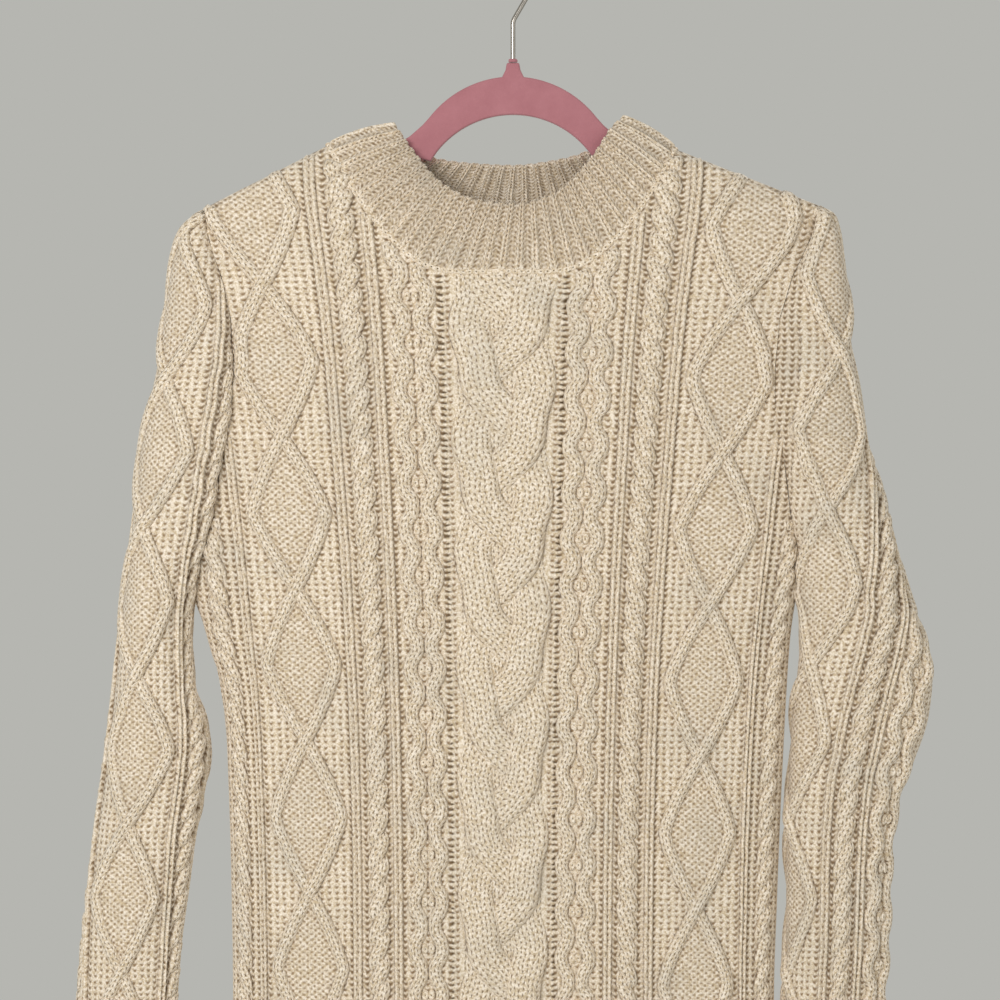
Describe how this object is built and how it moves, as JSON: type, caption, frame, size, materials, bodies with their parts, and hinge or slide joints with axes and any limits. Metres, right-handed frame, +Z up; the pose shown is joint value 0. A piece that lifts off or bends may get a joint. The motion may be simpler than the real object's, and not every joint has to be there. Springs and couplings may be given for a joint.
{
  "type": "cable-knit sweater dress on a hanger",
  "caption": "Long-sleeved cable-knit sweater dress with a ribbed mock neck, cuffs and hem, hanging flat on a slim arched hanger with a wire hook.",
  "frame": {"origin": "inside top of the hanger hook's loop, where it bears on a rail", "axes": "+Z up, +X to the right of a viewer who faces the dress's front, +Y from the front to the back"},
  "size_m": [0.5981, 0.0654, 0.9982],
  "materials": {
    "wool": "oatmeal marled wool-blend knit",
    "flock": "pink flocked",
    "steel": "polished wire"
  },
  "bodies": {
    "root": {"front": "wool", "back": "wool", "sleeve_left": "wool", "sleeve_right": "wool", "collar": "wool", "hanger_body": "flock", "hanger_hook": "steel"}
  },
  "joints": []
}
